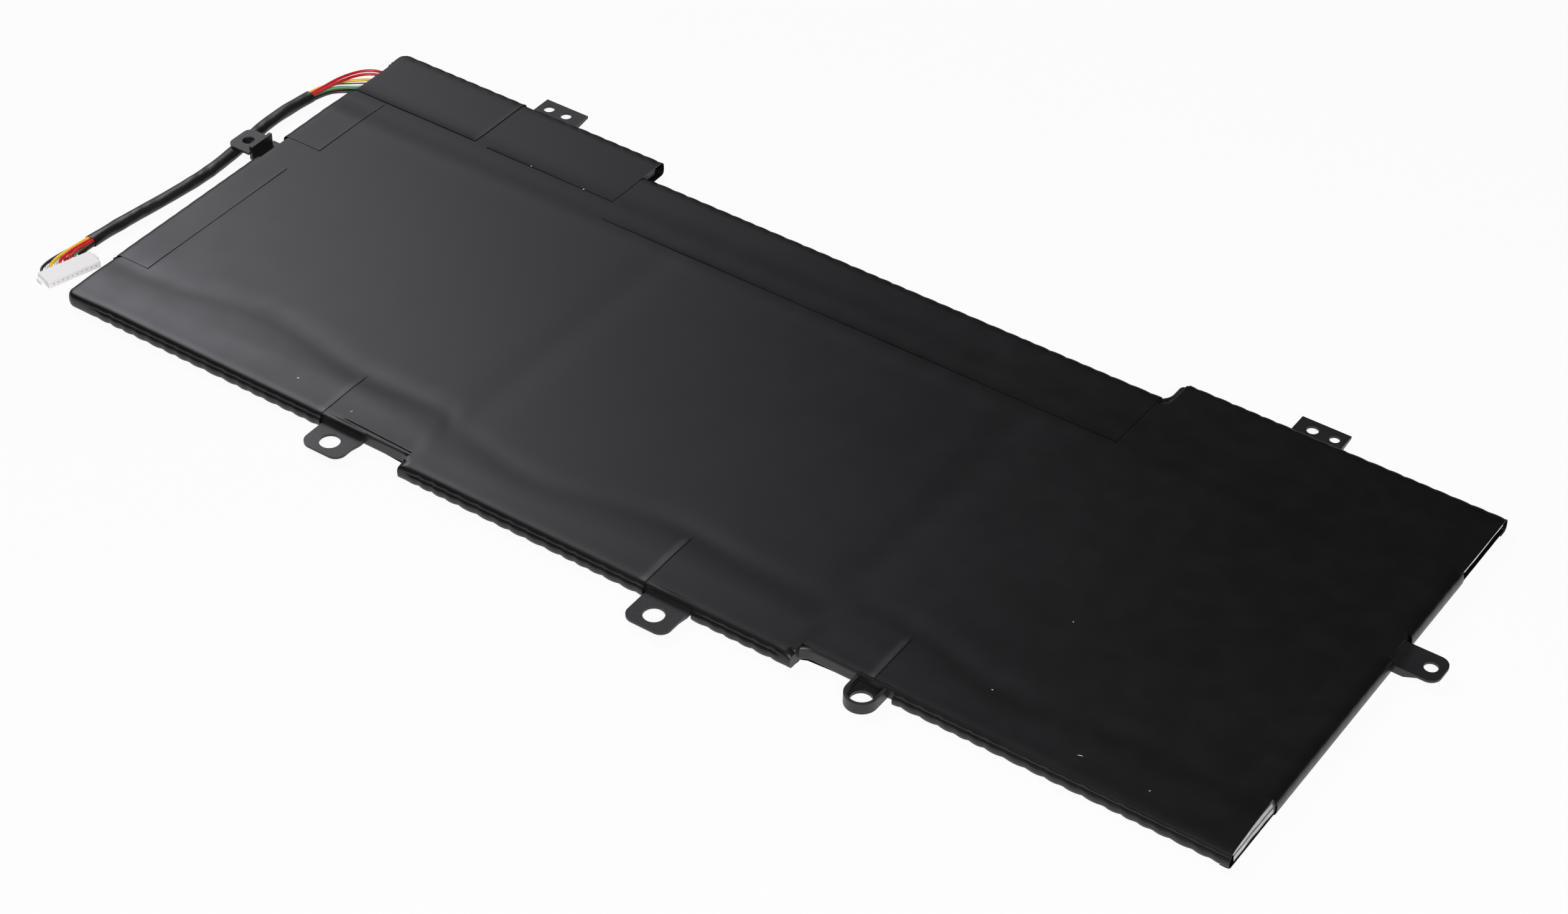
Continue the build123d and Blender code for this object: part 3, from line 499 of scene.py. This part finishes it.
def crown(x, y):
    """Height of the film: flat over the cells, with dips between them, a roll-off and a valley in front,
    a step down behind and soft waves; it never sinks into a cell.
    """
    inside = y - front_line(x)
    height = FILM_TOP - 0.20 * smooth(14.0, 1.5, inside)
    height -= 0.18 * smooth(32.0, 38.5, y) + 0.22 * smooth(38.0, 46.0, y)
    between = swell(x, -46.4, 4.5) + swell(x, 48.7, 4.5)
    height -= 0.07 * between * smooth(6.0, 18.0, inside) * smooth(40.0, 30.0, y)
    middle = 16.5 + 2.2 * np.sin(x / 21.0) + 1.4 * np.sin(x / 8.7 + 1.0)
    deep = 0.15 + 0.04 * np.sin(x / 13.0 + 0.5) + 0.02 * np.sin(x / 5.9)
    height -= deep * swell(inside, middle, 3.0) * (1.0 - 0.6 * between)
    height += 0.05 * swell(inside, 9.0 + 1.5 * np.sin(x / 17.0), 2.8) + 0.03 * swell(y, 32.0, 2.5)
    height += 0.020 * np.sin(x / 16.0 + 0.8 * np.sin(y / 12.0)) * np.sin(y / 13.0 + 0.7)
    height += 0.010 * np.sin(x / 7.5 - y / 10.0) * smooth(30.0, 5.0, inside)
    return np.where(y < CELL_BACK, np.maximum(height, ON_CELL), height)


def puckers(x):
    """The bead between two tucks: 1 in its middle and 0 at a tuck, with uneven spacing."""
    phase = x / TUCK + 0.16 * np.sin(x / 6.7) + 0.11 * np.sin(x / 2.9 + 1.0)
    return np.abs(np.sin(math.pi * phase)) ** 0.75


# outward reach from the rim's start and share of the drop, over the front crease and bead and round a plain end
ROLL = 8.6
TURN = np.linspace(0.0, 1.0, 60)
CREASED = flow(
    ((0.0, 0.0), (1.0, 0.02), (1.7, 0.09), (2.04, 0.20), (2.16, 0.30), (2.14, 0.325), (2.00, 0.335),
     (2.34, 0.35), (2.50, 0.42), (2.55, 0.60), (2.45, 0.82), (2.10, 0.955), (1.4, 1.0), (0.3, 1.0)), len(TURN))
PLAIN = flow(
    ((0.0, 0.0), (1.2, 0.015), (1.9, 0.07), (2.3, 0.18), (2.46, 0.36), (2.48, 0.6), (2.40, 0.82), (2.1, 0.96),
     (1.4, 1.0), (0.0, 1.0)), len(TURN))


def round_corner(u, v, reach):
    """Plan offsets of a point u and v beyond two edges: the reach itself, or its two shares at a corner."""
    both = (u > 0) & (v > 0)
    size = np.where(both, np.hypot(np.maximum(u, 1e-9), np.maximum(v, 1e-9)), 1.0)
    out_u = np.where(u > 0, np.where(both, reach * u / size, reach), u)
    out_v = np.where(v > 0, np.where(both, reach * v / size, reach), v)
    return out_u, out_v


def wrapped(u, v, along, crease):
    """Plan offsets and share of the drop for a point u and v beyond the rim's start on two sides."""
    turn = np.clip(np.maximum(u, v), 0.0, ROLL) / ROLL
    reach, share = (
        np.interp(turn, TURN, PLAIN[:, k]) * (1.0 - crease) + np.interp(turn, TURN, CREASED[:, k]) * crease
        for k in (0, 1))
    full = puckers(along)
    bead = crease * smooth(0.33, 0.50, share) * smooth(1.02, 0.9, share)
    reach = reach + bead * 0.26 * (full - 0.55)
    reach = reach - crease * 0.34 * swell(share, 0.25, 0.08) * (1.0 - full) ** 3
    share = share - crease * 0.07 * smooth(0.75, 1.0, share) * (1.0 - full)
    return *round_corner(u, v, reach), share


def columns_of(low, high, step=0.7):
    """Columns from low to high, closer together beside both ends, where a slit or a cut runs."""
    inner = np.linspace(low + 0.5, high - 0.5, max(2, round((high - low - 1.0) / step) + 1))
    return np.concatenate([[low, low + 0.12, low + 0.26], inner, [high - 0.26, high - 0.12, high]])


# left end, right end, front edge, how much of the roll over it is kept, how far the cut edge lifts, back edge
zones = (
    (-END, LEFT_EAR[0], LEFT_FRONT, ROLL, 0.0, BACK),
    (LEFT_EAR[0], -NOTCH, LEFT_FRONT, 2.75, 0.25, BACK),
    (-NOTCH, LEFT_EAR[1], LEFT_FRONT, 2.75, 0.25, RECESS),
    (LEFT_EAR[1], -STEP, LEFT_FRONT, 1.9, 0.10, RECESS),
    (-STEP, MIDDLE_EAR[0], STEP_FRONT, ROLL, 0.0, RECESS),
    (*MIDDLE_EAR, STEP_FRONT, 2.75, 0.20, RECESS),
    (MIDDLE_EAR[1], STEP, STEP_FRONT, ROLL, 0.0, RECESS),
    (STEP, EYELET[0], RIGHT_FRONT, 1.7, 0.0, RECESS),
    (EYELET[0], NOTCH, RIGHT_FRONT, 1.7, 0.0, RECESS),
    (NOTCH, EYELET[1], RIGHT_FRONT, 1.7, 0.0, BACK),
    (EYELET[1], END, RIGHT_FRONT, ROLL, 0.0, BACK),
)
DENTED = (-NOTCH, LEFT_EAR[1])
common_rows = np.concatenate(
    [np.linspace(50.5, 30.0, 14), np.linspace(28.5, -38.0, 40), np.linspace(-39.0, -49.0, 11)])
upper_grids = []
for low, high, edge, kept, lift, back in zones:
    start = edge + RIM
    stop = back - RIM
    over = np.linspace(0.0, kept, max(6, round(44 * kept / ROLL)))[1:]
    behind = np.linspace(2.2, 0.3, 8)
    rows = np.concatenate([
        stop + behind, np.linspace(stop, 51.5, 5), common_rows, np.linspace(-49.8, start, 6), start - over])
    if low in DENTED:
        rows = np.sort(np.concatenate([rows, np.arange(-53.3, -55.1, -0.09)]))[::-1]
    columns = columns_of(low, high)
    if low == -END:
        columns = columns[columns > -END + RIM + 0.1]
        columns = np.concatenate([-END + RIM - np.linspace(ROLL, 0.0, 26), columns])
    if high == END:
        columns = columns[columns < END - RIM - 0.1]
        columns = np.concatenate([columns, END - RIM + np.linspace(0.0, 1.0, 7)])
    x, y = np.meshgrid(columns, rows)
    u = -END + RIM - x
    # under the flaps of the left end the upper film stops at the rim
    u = np.where(u > 0, u * (0.2 + 0.8 * smooth(-39.0, -40.5, y)), u)
    v_front = start - y
    v = np.maximum(v_front, y - stop)
    crease = smooth(-143.0, -132.0, x) * (v_front > 0)
    if edge == STEP_FRONT:
        crease = crease * smooth(STEP - 0.4, STEP - 5.0, np.abs(x))
    out_u, out_v, share = wrapped(u, v, x, crease)
    x_new = np.where(u > 0, -END + RIM - out_u, x)
    # at the right end it is cut off: slanting in front, short under the flaps, longer by the ear and behind
    cut = 1.5 - 0.6 * smooth(-39.5, -38.5, y) + 0.5 * np.clip((-40.0 - y) / 16.0, 0.0, 1.0)
    cut += 0.8 * (smooth(8.5, 9.5, y) - smooth(16.6, 17.6, y)) + 1.35 * smooth(40.0, 41.0, y)
    x_new = np.where(x > END - RIM, END - RIM + (x - END + RIM) * cut, x_new)
    y_new = np.where(v_front > 0, start - out_v, np.where(y > stop, stop + out_v, y))
    top = crown(np.clip(x_new, -END + 1.0, END - 1.0), np.clip(y_new, start, stop))
    if high in SLITS:
        top = top + SLIT_LIFT * smooth(high - 1.6, high, x) * smooth(SLITS[high], SLITS[high] - 1.5, y)
    z = top - share * (top - FILM_LOW)
    ear = LEFT_EAR_MID if low < 0.0 else MIDDLE_EAR_MID
    z = z + lift * smooth(0.6, kept, v_front) * swell(x, ear, 5.0)
    if low in DENTED:
        line = -53.7 - 0.045 * (x + 67.5)
        z = z - 0.22 * swell(y, line, 0.14) * smooth(-67.8, -66.8, x)
    # the film turns down to close the ends of the forward step, and it drapes into the recess on the right
    if edge == STEP_FRONT and STEP in (-low, high):
        close = smooth(-56.3, -57.4, y) * smooth(1.3, 0.0, STEP - np.abs(x))
        z = z - 0.5 * close**2 * (1.0 - share) ** 2
    z = z - (z - 0.4) * smooth(70.9, 68.7, x) * smooth(52.0, 57.0, y) * (low == NOTCH)
    upper_grids.append(np.stack([x_new, y_new, z], -1))
    for place, column in ((low, 0), (high, -1)):
        if edge == STEP_FRONT and abs(place) == STEP:
            border = upper_grids[-1][:, column]
            border = border[border[:, 1] < CAP_BACK]
            cap = np.repeat(border[None], 6, 0)
            cap[..., 1] = border[:, 1] + np.linspace(0.0, 1.0, 6)[:, None] * (CAP_BACK - border[:, 1])
            upper_grids.append(cap)

film, film_shader, film_point = finish("film_black", {"Specular IOR Level": 0.45, "IOR": 1.5})
drift = film_point.noise(22.0, 3.0)
fine = film_point.noise(1800.0, 2.0)
scuff = film_point.noise(160.0, 6.0)
shade = (drift * 0.6 + scuff * 0.4).ramp(0.3, 0.75)
feed(film_shader, "Base Color", shade.mix((0.0022, 0.0022, 0.0025, 1.0), (0.0038, 0.0038, 0.0042, 1.0)))
feed(film_shader, "Roughness", scuff.ramp(0.35, 0.75) * 0.03 + drift * 0.03 + 0.37)
feed(film_shader, "Normal", film_point.node("Bump", 0, {"Height": fine, "Strength": 0.6, "Distance": 4e-6}))
upper = piece_of("film_upper", upper_grids, film, FILM_T)
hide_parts("upper_film")


# Lower film: the same polyester under the pack, folded up round the ends and back and glued down in flaps.
# Between the flaps it stops low on the side, and the right corners stay open on the cell.
LAP = 0.10
PRESSED = 0.05
LEFT_END = END + 0.12
RIGHT_END = END + 0.12
CUT_END = END - 0.1
ABOVE_EAR = float(np.interp(0.36, PLAIN[:, 1], TURN)) * ROLL
BELOW_EAR = float(np.interp(0.86, PLAIN[:, 1], TURN)) * ROLL
OPEN_CORNER = float(np.interp(0.74, PLAIN[:, 1], TURN)) * ROLL


def flap(side, low, high, edge, lap, run_low, run_high, height=LAP):
    """A strip of film on one side: columns along the edge, rows from the lap on top over the rim and down."""
    place = columns_of(low, high)
    inward = np.zeros(0)
    if lap:
        rest = np.linspace(1.0 - lap, -0.6, max(4, int(lap / 1.4)))
        inward = np.concatenate([[-lap, 0.1 - lap, 0.25 - lap, 0.5 - lap], rest])
    turn = np.linspace(run_low, run_high, max(8, int(3.6 * (run_high - run_low)))) / ROLL
    reach = np.concatenate([inward, np.interp(turn, TURN, PLAIN[:, 0])])
    share = np.concatenate([np.zeros_like(inward), np.interp(turn, TURN, PLAIN[:, 1])])
    along, out = np.meshgrid(place, reach)
    share = np.repeat(share[:, None], len(place), 1)
    full = puckers(along)
    rounded = smooth(0.0, 1.6, out) * smooth(1.0, 0.5, share) * (1.0 if side == "back" else 0.35)
    out = out + 0.16 * rounded * (full - 0.55)
    if side == "left":
        out = out + 1.1 * swell(along, -39.2, 0.9) * smooth(0.2, 0.5, share) * smooth(1.0, 0.8, share)
    distance = edge - RIM + out
    x, y = (along, distance) if side == "back" else (distance * (-1.0 if side == "left" else 1.0), along)
    flat_x = np.clip(x, -END + RIM, END - RIM)
    flat_y = np.minimum(y, edge - RIM) if side == "back" else y
    top = crown(flat_x, flat_y) + height - 0.09 * rounded * (1.0 - full) ** 2
    if lap and height == LAP:
        top = top + 0.05 * smooth(0.8, 0.0, out + lap) * (0.6 + 0.4 * np.sin(along / 9.0))
    elif lap:
        top = top - (height + 0.02) * smooth(3.5, 0.0, out + lap)
    return np.stack([x, y, top - share * top], -1)


# side, from, to, edge, lap on top, start and end of the run over the rim,
# and the height of a flap that is pressed flat
strips = (
    ("back", -108.7, -107.4, BACK, 0.0, ABOVE_EAR, ROLL),
    ("back", -107.4, -105.0, BACK, 0.0, BELOW_EAR, ROLL),
    ("back", -105.0, -94.8, BACK, 17.5, 0.0, ABOVE_EAR),
    ("back", -105.0, -94.8, BACK, 0.0, BELOW_EAR, ROLL),
    ("back", -94.8, -NOTCH, BACK, 17.5, 0.0, ROLL),
    ("back", -66.6, 68.2, RECESS, 17.3, 0.0, ROLL),
    ("back", 71.2, 94.8, BACK, 19.3, 0.0, ROLL, PRESSED),
    ("back", 94.8, 107.1, BACK, 19.3, 0.0, ABOVE_EAR, PRESSED),
    ("back", 94.8, 107.1, BACK, 0.0, BELOW_EAR, ROLL),
    ("back", 107.1, END - 0.15, BACK, 19.3, 0.0, ROLL, PRESSED),
    ("left", -39.2, 7.6, LEFT_END, 7.1, 0.0, ROLL),
    ("left", 7.6, 17.4, LEFT_END, 0.0, BELOW_EAR, ROLL),
    ("left", 17.4, 40.9, LEFT_END, 8.5, 0.0, ROLL),
    ("left", 40.9, 58.8, LEFT_END, 0.0, BELOW_EAR, ROLL),
    ("right", -55.6, -38.6, CUT_END, 0.0, OPEN_CORNER, ROLL),
    ("right", -38.6, 9.0, RIGHT_END, 6.5, 0.0, ROLL, PRESSED),
    ("right", 9.0, 17.2, RIGHT_END, 0.0, BELOW_EAR, ROLL),
    ("right", 17.2, 40.5, RIGHT_END, 6.5, 0.0, ROLL, PRESSED),
    ("right", 40.5, 60.9, CUT_END, 0.0, OPEN_CORNER, ROLL),
)
lower_grids = [flap(*strip) for strip in strips]

# the back left corner flap closes the corner over the wires
CORNER_X = -108.7
CORNER_Y = 41.9
outer = RIM - LEFT_END
beside = np.array([0.0, 0.1, 0.3])
over = TURN[1:] * ROLL
columns = np.concatenate([CORNER_X - beside, np.linspace(CORNER_X - 0.8, outer, 44), outer - over])
rows = np.concatenate([CORNER_Y + beside, np.linspace(CORNER_Y + 0.9, BACK - RIM, 14), BACK - RIM + over])
x, y = np.meshgrid(columns, rows)
u = outer - x
v = y - BACK + RIM
u = np.where(u > 0, u * (0.22 + 0.78 * smooth(53.8, 59.5, y)), u)
turned = np.maximum(np.maximum(u, v), 0.0)
reach = np.interp(turned / ROLL, TURN, PLAIN[:, 0])
share = np.interp(turned / ROLL, TURN, PLAIN[:, 1])
full = puckers(x)
rounded = smooth(0.0, 1.6, v) * smooth(1.0, 0.5, share)
out_u, out_v = round_corner(u, v, reach)
x_new = np.where(u > 0, outer - out_u, x)
y_new = np.where(v > 0, BACK - RIM + out_v + np.where(u > 0, 0.0, 0.16 * rounded * (full - 0.55)), y)
top = crown(np.maximum(x_new, outer), np.minimum(y_new, BACK - RIM)) + LAP
top += 0.07 * smooth(0.8, 0.0, np.minimum(y - CORNER_Y, CORNER_X - x))
top -= 0.09 * rounded * (1.0 - full) ** 2
lower_grids.append(np.stack([x_new, y_new, top - share * top], -1))

# the sheet under the pack, in three lengths to follow the recess
SHEET_INSET = 1.7
for low, high, back in ((-END + RIM, -NOTCH, BACK), (-NOTCH, NOTCH, RECESS), (NOTCH, END - RIM, BACK)):
    x, t = np.meshgrid(np.linspace(low, high, 24), np.linspace(0.0, 1.0, 16))
    front = front_line(x) + SHEET_INSET
    y = front + t * (back - RIM - front)
    lower_grids.append(np.stack([x, y, np.zeros_like(x)], -1))
lower = piece_of("film_lower", lower_grids, film, FILM_T)
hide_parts("lower_film")


# Dust: a few pale flecks and short hairs lying on the film, as the photograph shows them.
# Each is a low flake a few tenths of a millimetre across, loose on the film or on a flap.
FLECK_H = 0.07
ON_FLAP = 0.16
flecks = (
    # place along the pack, place across, half length, half width, turn
    (-84.57, -49.14, 0.28, 0.16, 0.6), (-91.89, 41.46, 0.20, 0.14, 0.2), (-76.70, 41.30, 0.24, 0.18, 1.1),
    (86.51, -44.03, 0.18, 0.12, 0.4), (109.55, -49.61, 0.55, 0.07, 0.3), (-68.13, -51.12, 0.34, 0.06, 1.2),
    (124.98, -50.01, 0.16, 0.10, 0.9), (89.42, -18.48, 0.14, 0.12, 0.0),
)
dust_grids = []
spread, around = np.meshgrid(np.linspace(0.0, 1.0, 4), np.linspace(0.0, 2 * math.pi, 11), indexing="ij")
for place_x, place_y, long, wide, twist in flecks:
    ragged = spread * (1.0 + 0.2 * np.sin(3.0 * around + place_x))
    a = long * ragged * np.cos(around)
    b = wide * ragged * np.sin(around)
    x = place_x + a * math.cos(twist) - b * math.sin(twist)
    y = place_y + a * math.sin(twist) + b * math.cos(twist)
    z = crown(x, y) + FLECK_H * (1.0 - spread**2) + (ON_FLAP if place_y > 0 and place_x < 0 else 0.0)
    dust_grids.append(np.stack([x, y, z], -1))
dust_finish = grained("dust", (0.55, 0.55, 0.54), (0.75, 0.75, 0.73), 0.8, 900.0, 4000.0, 1e-5)
dust = piece_of("dust", dust_grids, dust_finish)
